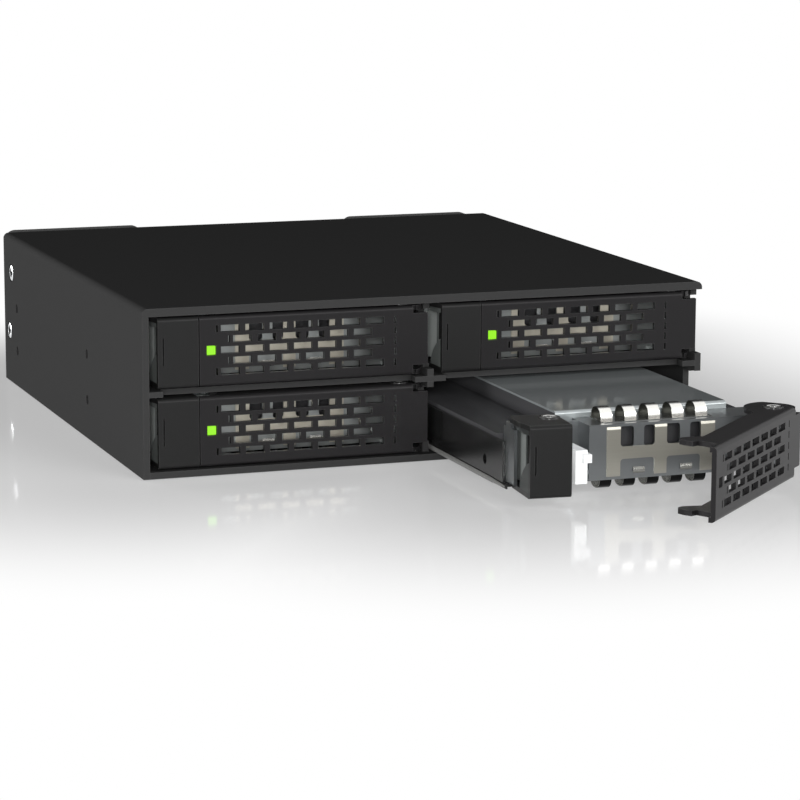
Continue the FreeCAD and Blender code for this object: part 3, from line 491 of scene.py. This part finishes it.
# Latches: the folds behind the face are painted a lighter grey than the face, partly their own tone and partly
# painted light; in the shut doors they are painted lighter still as painted light
foldSettings = {
    # flankShut and wedgeShut are lighter copies for the shut doors: painted light
    "flank": (132, 136, 134), "wedge": (58, 61, 60), "flankShut": (196, 201, 198), "wedgeShut": (120, 124, 122),
    "sheet": 0.00125, "flankReach": 0.0022, "flankFront": 0.0060, "wedgeReach": 0.00085, "depth": 0.016,
    "overlap": 0.0001, "outside": 0.001, "turnDeg": 5.0, "pivot": (0.0076, 0.0100),
}


def jointPlace(name):
    return [joint["pos_m"] for joint in frame["record"]["behaviour"]["joints"] if joint["name"] == name][0]


def makeLatchMaterial(tray, s):
    low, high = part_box(tray + "_latch")
    pivot = jointPlace(tray + "_latch_pivot")
    turn = math.radians(s["turnDeg"]) if tray == openTray else 0.0
    x, y = pivot[0], pivot[1]
    location = (s["pivot"][0] - (math.cos(turn) * x - math.sin(turn) * y),
                s["pivot"][1] - (math.sin(turn) * x + math.cos(turn) * y), 0)
    bottom, top = low[2] + s["sheet"], high[2] - s["sheet"]
    state = "" if tray == openTray else "Shut"
    wedgeBox = ((-s["outside"], s["sheet"], bottom), (s["wedgeReach"], s["depth"], top), s["wedge" + state])
    flankBox = ((s["wedgeReach"] - s["overlap"], s["flankFront"], bottom), (s["flankReach"], s["depth"], top),
                s["flank" + state])
    inner = {"location": location, "turn": turn, "boxes": [wedgeBox, flankBox]}
    return paintedMetal(tray + "_latch_paint", finishes["latch_paint"], inner)


for tray in trays:
    materials[tray + "_latch"] = makeLatchMaterial(tray, foldSettings)
print("materials made:", len(materials))


def setMaterial(obj, material):
    obj.data.materials.clear()
    obj.data.materials.append(material)


slotOf = {row["node"]: row["material_slot"] for row in frame["record"]["subparts"]}
for name, obj in nodes.items():
    tray = next((tray for tray in trays if name.startswith(tray)), None)
    if name.endswith("_light_pipe"):
        setMaterial(obj, materials[tray + "_pipe"])
    elif name.endswith("_latch"):
        setMaterial(obj, materials[tray + "_latch"])
    # The shut trays take the lighter painted-light copies of the steel where one exists
    elif slotOf[name] + "_shut" in materials and tray != openTray:
        setMaterial(obj, materials[slotOf[name] + "_shut"])
    else:
        setMaterial(obj, materials[slotOf[name]])
print("frame painted")


# Pieces worked out on grids of points, in millimetres, mostly from a tray's own corner
meshSettings = {"merge": 1e-7, "sharpDeg": 38}


def trayOrigin(tray):
    pivot = jointPlace(tray + "_latch_pivot")
    return np.array([pivot[0] - foldSettings["pivot"][0], pivot[1] - foldSettings["pivot"][1],
                     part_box(tray + "_tray_frame")[0][2]])


def gridBlock(points, lids=True):
    # Quads between the rows of a grid whose columns close on themselves, with a lid on each end row
    rows, cols = points.shape[:2]
    row = np.arange(rows - 1)[:, None] * cols
    col = np.arange(cols)[None, :]
    after = (col + 1) % cols
    quads = np.stack([row + col, row + after, row + cols + after, row + cols + col], axis=-1)
    quads = quads.reshape(-1, 4).tolist()
    if lids:
        quads += [list(range(cols))[::-1], list(range((rows - 1) * cols, rows * cols))]
    return points.reshape(-1, 3), quads


def makePiece(name, blocks, origin, body, material, tones=None):
    faces = []
    start = 0
    for points, quads in blocks:
        faces += [[index + start for index in quad] for quad in quads]
        start += len(points)
    everyPoint = np.concatenate([points for points, quads in blocks]) * millimetre + np.array(origin)
    mesh = bpy.data.meshes.new(name)
    mesh.from_pydata(everyPoint.tolist(), [], faces)
    if tones is not None:
        attribute = mesh.color_attributes.new("tone", "FLOAT_COLOR", "POINT")
        shades = np.concatenate(tones)
        attribute.data.foreach_set("color", np.column_stack([shades, np.ones(len(shades))]).ravel())
    work = bmesh.new()
    work.from_mesh(mesh)
    bmesh.ops.remove_doubles(work, verts=work.verts, dist=meshSettings["merge"])
    bmesh.ops.recalc_face_normals(work, faces=work.faces)
    work.to_mesh(mesh)
    work.free()
    mesh.polygons.foreach_set("use_smooth", np.ones(len(mesh.polygons), bool))
    mesh.set_sharp_from_angle(angle=math.radians(meshSettings["sharpDeg"]))
    mesh.materials.append(material)
    piece = bpy.data.objects.new(name, mesh)
    bpy.context.scene.collection.objects.link(piece)
    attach(piece, body)
    return piece


def archPath(front, depth, base, rise, power, count):
    # Half a superellipse of power p: y = front + depth / 2 * (1 - sgn(cos a) |cos a|^(2/p)),
    # z = base + rise * sin a^(2/p)
    a = np.linspace(0, np.pi, count)
    c = np.cos(a)
    y = front + depth / 2 * (1 - np.sign(c) * np.abs(c) ** (2 / power))
    return np.column_stack([y, base + rise * np.sin(a).clip(0, 1) ** (2 / power)])


def bandBlock(path, middle, width, sheet, outward=1.0):
    # A flat strip carried along a path in the y-z plane: path + normal * offset, with its long edges eased
    along = np.gradient(path, axis=0)
    along /= np.linalg.norm(along, axis=1)[:, None]
    normal = np.column_stack([-along[:, 1], along[:, 0]]) * outward
    w, t, c = width / 2, sheet / 2, sheet / 4
    across = np.array([c - w, w - c, w, w, w - c, c - w, -w, -w])
    offset = np.array([t, t, t - c, c - t, -t, -t, c - t, t - c])
    points = np.empty((len(path), len(across), 3))
    points[:, :, 0] = middle + across
    points[:, :, 1:] = path[:, None, :] + normal[:, None, :] * offset[None, :, None]
    return gridBlock(points), offset


def revolveBlock(profile, columns, center, lean=(0, 0, 1), relief=None):
    # A profile of (radius, height) turned about an axis; relief(x, y) lowers the rows on the crown
    angle = np.linspace(0, 2 * np.pi, columns, endpoint=False)
    radius, height = np.array(profile).T
    x = radius[:, None] * np.cos(angle)
    y = radius[:, None] * np.sin(angle)
    z = np.repeat(height[:, None], columns, axis=1)
    if relief is not None:
        z = z - relief(x, y) * (height[:, None] > 0)
    up = np.array(lean, float)
    side = np.array([0, 1.0, 0]) if abs(up[1]) < 0.5 else np.array([1.0, 0, 0])
    other = np.cross(up, side)
    points = np.array(center) + x[..., None] * side + y[..., None] * other + z[..., None] * up
    return gridBlock(points, lids=False)


# Contact fingers: two strips of sprung arches on each tray, standing taller where the tray is out of its bay
fingerSettings = {
    "count": 5, "first": 23.0, "last": 47.4, "width": 3.0, "sheet": 0.22, "left": 22.0, "right": 49.8,
    "front": 12.0, "depth": 5.8, "top": 14.55, "bottom": 1.35, "stripFront": 11.2, "topRear": 19.6,
    "lowRear": 18.4, "rise": 2.45, "drop": 1.35, "freeRise": 3.15, "freeDrop": 2.6, "power": 2.5, "rows": 30,
    "stripRows": 6, "tongues": (30.3, 42.5), "tongueRise": 1.5, "tongueLow": 2.6, "tongueFace": 9.42,
    "tongueCurl": 0.35, "tongueRows": 10, "squashKeep": 0.9, "squashFrom": 10.0,
}
# Painted light on the fingers: a painted highlight up the upper legs, painted shade on their crests and
# insides, painted shade on the lower fingers' fronts and a painted highlight inside them; the strip keeps the
# steel's own tone
fingerPaintedLight = {
    "legHighlight": (252, 251, 246), "foot": (206, 203, 196), "crestShade": (26, 26, 24), "inside": (84, 84, 78),
    "strip": (112, 113, 112), "lowFrontShade": (12, 12, 12), "lowInsideHighlight": (232, 232, 228), "tongue": (196, 196, 190),
    "brightFrom": 0.22, "brightFade": 0.1, "crestFrom": 0.36, "crestFade": 0.05, "tongueFoot": 0.35,
}
tonedFinish = {"roughness": 0.22, "spread": 0.06, "metallic": 0.75, "depth": 0.0000005, "bump": 0.5}


def makeTonedSteel(s):
    # Bright steel whose colour is written at each point of the mesh, painted highlights and painted shade
    # included
    material, tree, shader = newMaterial("tonedSteel")
    tone = tree.nodes.new("ShaderNodeAttribute")
    tone.attribute_name = "tone"
    marks = placeGroup(tree, brushedMetal, Roughness=s["roughness"], Spread=s["spread"])
    tree.links.new(tone.outputs["Color"], shader.inputs["Base Color"])
    tree.links.new(marks.outputs["Roughness"], shader.inputs["Roughness"])
    shader.inputs["Metallic"].default_value = s["metallic"]
    addBump(tree, shader, marks.outputs["Height"], s["depth"], s["bump"])
    return material


def makeFingers(tray, s, t, material):
    # Each strip is a flat band with arches on it; the tongues are bands that curl and are painted darker
    # towards the foot as painted shade
    free = tray == openTray
    blocks, tones = [], []

    def shade(key):
        return np.array(linearColor(*t[key])[:3])

    def add(block, colors):
        blocks.append(block)
        tones.append(colors.reshape(-1, 3))

    middles = np.linspace(s["first"], s["last"], s["count"])
    stripMiddle, stripWidth = (s["left"] + s["right"]) / 2, s["right"] - s["left"]
    for base, rise, rear, upward in (
            (s["top"] + s["sheet"] / 2, s["freeRise" if free else "rise"], s["topRear"], 1.0),
            (s["bottom"] - s["sheet"] / 2, -s["freeDrop" if free else "drop"], s["lowRear"], -1.0)):
        along = np.linspace(s["stripFront"], rear, s["stripRows"])
        straight = np.column_stack([along, np.full(s["stripRows"], base)])
        block, offset = bandBlock(straight, stripMiddle, stripWidth, s["sheet"], upward)
        add(block, shade("strip") * np.ones((s["stripRows"], len(offset), 3)))
        path = archPath(s["front"], s["depth"], base, rise, s["power"], s["rows"])
        share = np.linspace(0, 1, s["rows"])[:, None, None]
        climb = ((path[:, 1] - base) / rise)[:, None, None]
        for middle in middles:
            block, offset = bandBlock(path, middle, s["width"], s["sheet"], upward)
            outer = (offset > 0)[None, :, None]
            # Painted highlight and painted shade, laid by height along the arch
            if upward > 0:
                lit = ((climb - t["brightFrom"]) / t["brightFade"]).clip(0, 1)
                leg = shade("foot") + (shade("legHighlight") - shade("foot")) * lit
                front = leg + (shade("crestShade") - leg) * ((share - t["crestFrom"]) / t["crestFade"]).clip(0, 1)
                inside = shade("inside")
            else:
                front = shade("lowFrontShade")
                inside = shade("lowInsideHighlight")
            add(block, np.where(outer, front, inside) * np.ones((s["rows"], len(offset), 3)))
    # The tongues stand partly for the lower fingers' tips and partly for painted highlights on the bracket's
    # lower bend
    u = np.linspace(0, 1, s["tongueRows"])
    tonguePath = np.column_stack([s["tongueFace"] - s["tongueCurl"] * np.sin(np.pi * u) ** 2 * (1 - u),
                                  s["tongueLow"] + s["tongueRise"] * u])
    fade = (t["tongueFoot"] + (1 - t["tongueFoot"]) * u)[:, None, None]
    for middle in s["tongues"]:
        block, offset = bandBlock(tonguePath, middle, s["width"], s["sheet"] / 2)
        add(block, shade("tongue") * fade * np.ones((s["tongueRows"], len(offset), 3)))
    piece = makePiece(tray + "_finger_strips", blocks, trayOrigin(tray), tray + "_tray", material,
                      tones)
    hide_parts(tray + "_contact_fingers")
    if free:
        middle = trayOrigin(tray) + np.array([0, 0, s["squashFrom"] * millimetre])
        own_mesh(piece)


tonedSteel = makeTonedSteel(tonedFinish)
for tray in trays:
    makeFingers(tray, fingerSettings, fingerPaintedLight, tonedSteel)
print("contact fingers made")


# Runner beads along the foot of each tray's side walls
runnerSettings = {
    "front": 13.4, "rear": 121.0, "left": -2.0, "right": 68.2, "reach": 0.15, "middle": 0.62, "half": 0.62,
    "endPower": 16, "endShare": 0.3, "rows": 14, "columns": 16,
}
runnerFinish = {
    "color": (136, 136, 134), "streak": (116, 116, 114), "roughness": 0.4, "spread": 0.06, "metallic": 0.1,
    "depth": 0.0000005,
}


def makeRunners(tray, s, material):
    # An upright ellipse carried along y: x = edge + reach t cos a, z = middle + half t sin a,
    # where t = sqrt(1 - (2u - 1)^endPower) draws the ends in
    angle = np.linspace(0, 2 * np.pi, s["columns"], endpoint=False)
    u = np.linspace(0, 1, s["rows"])[:, None]
    taper = np.sqrt(1 - (2 * u - 1) ** s["endPower"]).clip(s["endShare"], 1)
    blocks = []
    for edge in (s["left"], s["right"]):
        x = edge + s["reach"] * taper * np.cos(angle)
        z = s["middle"] + s["half"] * taper * np.sin(angle)
        y = s["front"] + (s["rear"] - s["front"]) * u + 0 * angle
        blocks.append(gridBlock(np.stack([x, y, z], axis=-1)))
    makePiece(tray + "_runner_beads", blocks, trayOrigin(tray), tray + "_tray", material)


# Riveted pin heads, stepped rings with painted glints on their rims
capSettings = {
    "profile": [(0, 0.2), (0.5, 0.2), (0.72, 0.18), (0.8, 0.14), (0.84, 0.05), (0.9, 0.03), (1.4, 0.03),
                (1.46, 0.05), (1.52, 0.12), (1.6, 0.14), (1.95, 0.14), (2.2, 0.11), (2.38, 0.04),
                (2.45, -0.06), (2.4, -0.12), (0, -0.12)],
    "columns": 48, "pins": ((7.6, 10.0), (62.8, 5.0)), "top": 17.2, "glintRows": (4, 5, 7, 8, 9),
    # rim is the colour of the painted glints, crown the head's own dark colour
    "rim": (226, 226, 224), "crown": (44, 44, 44),
}


def makePinCaps(tray, s, material):
    # The profile is turned about each pin's axis; its rims are painted bright as painted glints on the dark
    # crown
    blocks = [revolveBlock(s["profile"], s["columns"], (x, y, s["top"])) for x, y in s["pins"]]
    glintRows = np.isin(np.arange(len(s["profile"])), s["glintRows"])[:, None, None]
    shades = np.where(glintRows, linearColor(*s["rim"])[:3], linearColor(*s["crown"])[:3])
    tones = (shades * np.ones((1, s["columns"], 1))).reshape(-1, 3)
    makePiece(tray + "_pin_caps", blocks, trayOrigin(tray), tray + "_tray", material,
              [tones] * len(blocks))


runnerSteel = bareMetal("runnerSteel", runnerFinish)
for tray in trays:
    makeRunners(tray, runnerSettings, runnerSteel)
    makePinCaps(tray, capSettings, tonedSteel)
print("runners and pin caps made")


# Pan head screws with a cross recess, the recess painted dark as painted shade
screwSettings = {
    "side_screws": {"radius": 2.5, "height": 0.9, "shank": 1.35, "length": 2.6, "recess": 1.55, "deep": 0.62,
                    "dome": 7.0, "well": 1.25},
    "fan_screws": {"radius": 2.8, "height": 1.6, "shank": 1.55, "length": 11.2, "recess": 1.6, "deep": 1.0,
                   "dome": 2.6, "well": 0.0, "inset": 4.0},
}
headShape = {
    "steel": (232, 234, 236), "recessShade": (14, 14, 14), "recessShadeFrom": 0.15, "rows": 24, "columns": 96, "spacing": 0.9,
    "barHalf": 0.42, "slope": 0.16, "rim": 0.35, "tipShare": 0.7, "tipLength": 0.4,
}


def screwBlock(center, lean, s, h):
    # Crown: z = height * (1 - (r / R)^dome * (1 - rim)), less a recess of two crossed bars whose walls slope
    r = np.linspace(0, 1, h["rows"]) ** h["spacing"] * s["radius"]
    crown = s["height"] * (1 - (r / s["radius"]) ** s["dome"] * (1 - h["rim"]))
    tip = -s["length"] - h["tipLength"]
    below = [(s["radius"], 0.0), (s["shank"], 0.0), (s["shank"], -s["length"]),
             (s["shank"] * h["tipShare"], tip), (0, tip)]
    profile = np.column_stack([r, crown]).tolist() + below

    def recess(x, y):
        def bar(a, b):
            wall = ((h["barHalf"] - np.abs(a)) / h["slope"] + 0.5).clip(0, 1)
            end = ((s["recess"] - np.abs(b)) / h["slope"] * 0.5).clip(0, 1)
            return wall * end
        return s["deep"] * np.maximum(bar(x, y), bar(y, x))

    angle = np.linspace(0, 2 * np.pi, h["columns"], endpoint=False)
    # The recess and the centre well are painted near-black as painted shade
    sunk = np.zeros((len(profile), h["columns"]))
    sunk[:h["rows"]] = recess(r[:, None] * np.cos(angle), r[:, None] * np.sin(angle)) / s["deep"]
    sunk[:h["rows"]] += (r < s["well"])[:, None]
    recessShade = sunk.reshape(-1, 1) > h["recessShadeFrom"]
    tones = np.where(recessShade, linearColor(*h["recessShade"])[:3], linearColor(*h["steel"])[:3])
    return revolveBlock(profile, h["columns"], center, lean, recess), tones


def makeScrews(node, places):
    # Each place is the seat of a head in millimetres, with the way it points out of the wall
    screws = [screwBlock(seat, way, screwSettings[node], headShape) for seat, way in places]
    piece = makePiece(node.replace("screws", "cross_head_screws"), [block for block, tones in screws],
                      (0, 0, 0), "cage", tonedSteel, [tones for block, tones in screws])
    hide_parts(node)


def boxInMillimetres(name):
    return [np.array(corner) * 1000 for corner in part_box(name)]


def sidePlaces(s):
    low, high = boxInMillimetres("side_screws")
    r = s["radius"]
    seat = high[0] - s["height"]
    spots = [(low[1] + r, high[2] - r), (high[1] - r, low[2] + r)]
    return [((way * seat, y, z), (way, 0, 0)) for way in (-1, 1) for y, z in spots]


def rearPlaces(s):
    seat = boxInMillimetres("fan_screws")[1][1] - s["height"]
    places = []
    for fan in ("left_fan_frame", "right_fan_frame"):
        low, high = boxInMillimetres(fan)
        places += [((x, seat, z), (0, 1, 0)) for x in (low[0] + s["inset"], high[0] - s["inset"])
                   for z in (low[2] + s["inset"], high[2] - s["inset"])]
    return places


makeScrews("side_screws", sidePlaces(screwSettings["side_screws"]))
makeScrews("fan_screws", rearPlaces(screwSettings["fan_screws"]))
print("screws made")


# Floor, polished near the cage and fading to plain white further off
floorSettings = {
    "halfSize": 6.0, "below": 0.0002, "color": (238,), "roughness": 0.07, "sheen": 0.5, "glow": 0.33,
    "fadeStart": 0.01, "fadeEnd": 0.12,
}


def makeNearness():
    # Distance on the floor from a rectangle: the length of (max(|x - cx| - hx, 0), max(|y - cy| - hy, 0))
    group, source, result = newGroup("distanceFromBox", [
        ("Center X", "Float", 0.0), ("Center Y", "Float", 0.0),
        ("Half X", "Float", 0.07), ("Half Y", "Float", 0.07)], [("Distance", "Float")])
    place = group.nodes.new("ShaderNodeTexCoord")
    parts = group.nodes.new("ShaderNodeSeparateXYZ")
    group.links.new(place.outputs["Object"], parts.inputs[0])
    squares = []
    for axis in "XY":
        off = mathNode(group, "SUBTRACT", parts.outputs[axis], source.outputs["Center " + axis])
        beyond = mathNode(group, "SUBTRACT", mathNode(group, "ABSOLUTE", off), source.outputs["Half " + axis])
        squares.append(mathNode(group, "POWER", mathNode(group, "MAXIMUM", beyond, 0.0), 2.0))
    group.links.new(mathNode(group, "SQRT", mathNode(group, "ADD", *squares)), result.inputs["Distance"])
    return group


def makeFloor(s):
    mesh = bpy.data.meshes.new("floor")
    h = s["halfSize"]
    corners = [(i * h, j * h, -s["below"]) for i, j in ((-1, -1), (1, -1), (1, 1), (-1, 1))]
    mesh.from_pydata(corners, [], [(0, 1, 2, 3)])
    floor = bpy.data.objects.new("floor", mesh)
    bpy.context.scene.collection.objects.link(floor)
    material, tree, shader = newMaterial("floor")
    shader.inputs["Base Color"].default_value = linearColor(*s["color"])
    shader.inputs["Roughness"].default_value = s["roughness"]
    shader.inputs["Specular IOR Level"].default_value = s["sheen"]
    shader.inputs["Emission Color"].default_value = (1, 1, 1, 1)
    seen = seenDirectly(tree)
    tree.links.new(mathNode(tree, "MULTIPLY", seen, s["glow"]), shader.inputs["Emission Strength"])
    nearness = makeNearness()
    low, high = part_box("cage_wrap")
    trayLow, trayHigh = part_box(openTray + "_tray_frame")
    distances = []
    for corner, other in ((low, high), (trayLow, trayHigh)):
        node = placeGroup(tree, nearness, Center_X=(corner[0] + other[0]) / 2,
                          Center_Y=(corner[1] + other[1]) / 2, Half_X=(other[0] - corner[0]) / 2,
                          Half_Y=(other[1] - corner[1]) / 2)
        distances.append(node.outputs["Distance"])
    fade = tree.nodes.new("ShaderNodeMapRange")
    fade.interpolation_type = "SMOOTHSTEP"
    fade.inputs["From Min"].default_value = s["fadeStart"]
    fade.inputs["From Max"].default_value = s["fadeEnd"]
    tree.links.new(mathNode(tree, "MINIMUM", *distances), fade.inputs["Value"])
    white = tree.nodes.new("ShaderNodeEmission")
    blend = tree.nodes.new("ShaderNodeMixShader")
    tree.links.new(mathNode(tree, "MULTIPLY", fade.outputs["Result"], seen), blend.inputs["Fac"])
    tree.links.new(shader.outputs[0], blend.inputs[1])
    tree.links.new(white.outputs[0], blend.inputs[2])
    tree.links.new(blend.outputs[0], tree.nodes["Material Output"].inputs["Surface"])
    floor.data.materials.append(material)


makeFloor(floorSettings)
bpy.context.scene.view_settings.view_transform = "Standard"
print("floor laid")
